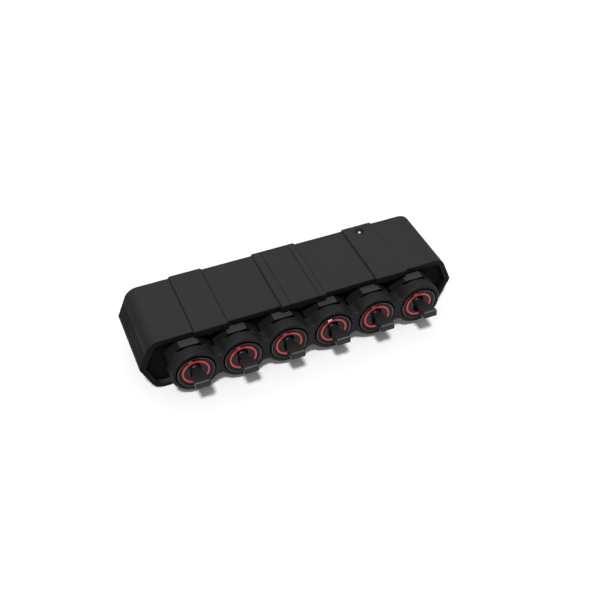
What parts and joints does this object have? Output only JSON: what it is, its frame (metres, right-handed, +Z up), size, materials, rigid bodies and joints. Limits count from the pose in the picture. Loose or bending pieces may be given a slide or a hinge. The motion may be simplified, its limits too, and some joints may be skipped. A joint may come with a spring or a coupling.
{
  "type": "portable power distribution box",
  "caption": "Long six-sided black switch box with raised straps on top, a scalloped fascia with lit round toggle switches in a row, an indicator light and cable glands at the back.",
  "frame": {"origin": "centre of the flat underside", "axes": "+X along the row of switches, to the right as seen from the switch side; -Y is the switch side and +Y the cable side; +Z is up"},
  "size_m": [0.2114, 0.0918, 0.041],
  "materials": {
    "housing_plastic": "fine-grained black moulding",
    "panel_plastic": "satin black",
    "fascia_plastic": "satin black with a cool cast",
    "switch_plastic": "semi-gloss black",
    "bezel_metal": "dark grey satin",
    "ring_red": "translucent red, lit",
    "lever_plastic": "satin black",
    "indicator_white": "clear white, lit",
    "rubber": "matt black",
    "screw_steel": "blackened steel",
    "board_laminate": "green laminate",
    "contact_brass": "plain",
    "insert_brass": "plain, threaded inside",
    "inner_plastic": "black",
    "fuse_plastic": "tinted clear",
    "gland_plastic": "black nylon"
  },
  "bodies": {
    "box": {"housing": "housing_plastic", "front_panel": "panel_plastic", "front_fascia": "fascia_plastic", "rear_cover": "housing_plastic", "front_gasket": "rubber", "rear_gasket": "rubber", "panel_screws": "screw_steel", "cover_screws": "screw_steel", "board_screws": "screw_steel", "indicator_lens": "indicator_white", "indicator_light": "indicator_white", "circuit_board": "board_laminate", "positive_busbar": "contact_brass", "ground_busbar": "contact_brass", "supply_studs": "contact_brass", "fuse_holders": "inner_plastic", "blade_fuses": "fuse_plastic", "pivot_pins": "screw_steel", "switch_seals": "rubber", "switch_nuts": "inner_plastic", "switch_terminals": "contact_brass", "supply_gland_body": "gland_plastic", "output_gland_body": "gland_plastic", "supply_gland_cap": "gland_plastic", "output_gland_cap": "gland_plastic", "supply_gland_seal": "rubber", "output_gland_seal": "rubber", "gland_locknuts": "gland_plastic", "mounting_inserts": "insert_brass", "switch_body_1": "switch_plastic", "bezel_ring_1": "bezel_metal", "light_ring_1": "ring_red", "switch_body_2": "switch_plastic", "bezel_ring_2": "bezel_metal", "light_ring_2": "ring_red", "switch_body_3": "switch_plastic", "bezel_ring_3": "bezel_metal", "light_ring_3": "ring_red", "switch_body_4": "switch_plastic", "bezel_ring_4": "bezel_metal", "light_ring_4": "ring_red", "switch_body_5": "switch_plastic", "bezel_ring_5": "bezel_metal", "light_ring_5": "ring_red", "switch_body_6": "switch_plastic", "bezel_ring_6": "bezel_metal", "light_ring_6": "ring_red"},
    "lever_1": {"lever_1": "lever_plastic"},
    "lever_2": {"lever_2": "lever_plastic"},
    "lever_3": {"lever_3": "lever_plastic"},
    "lever_4": {"lever_4": "lever_plastic"},
    "lever_5": {"lever_5": "lever_plastic"},
    "lever_6": {"lever_6": "lever_plastic"}
  },
  "joints": [
    {"name": "lever_1_tilt", "type": "hinge", "parent": "box", "child": "lever_1", "pos_m": [-0.075, -0.0351, 0.02], "axis": [1, 0, 0], "range_deg": [0, 25]},
    {"name": "lever_2_tilt", "type": "hinge", "parent": "box", "child": "lever_2", "pos_m": [-0.045, -0.0351, 0.02], "axis": [1, 0, 0], "range_deg": [0, 25]},
    {"name": "lever_3_tilt", "type": "hinge", "parent": "box", "child": "lever_3", "pos_m": [-0.015, -0.0351, 0.02], "axis": [1, 0, 0], "range_deg": [0, 25]},
    {"name": "lever_4_tilt", "type": "hinge", "parent": "box", "child": "lever_4", "pos_m": [0.015, -0.0351, 0.02], "axis": [1, 0, 0], "range_deg": [0, 25]},
    {"name": "lever_5_tilt", "type": "hinge", "parent": "box", "child": "lever_5", "pos_m": [0.045, -0.0351, 0.02], "axis": [1, 0, 0], "range_deg": [0, 25]},
    {"name": "lever_6_tilt", "type": "hinge", "parent": "box", "child": "lever_6", "pos_m": [0.075, -0.0351, 0.02], "axis": [1, 0, 0], "range_deg": [0, 25]}
  ]
}
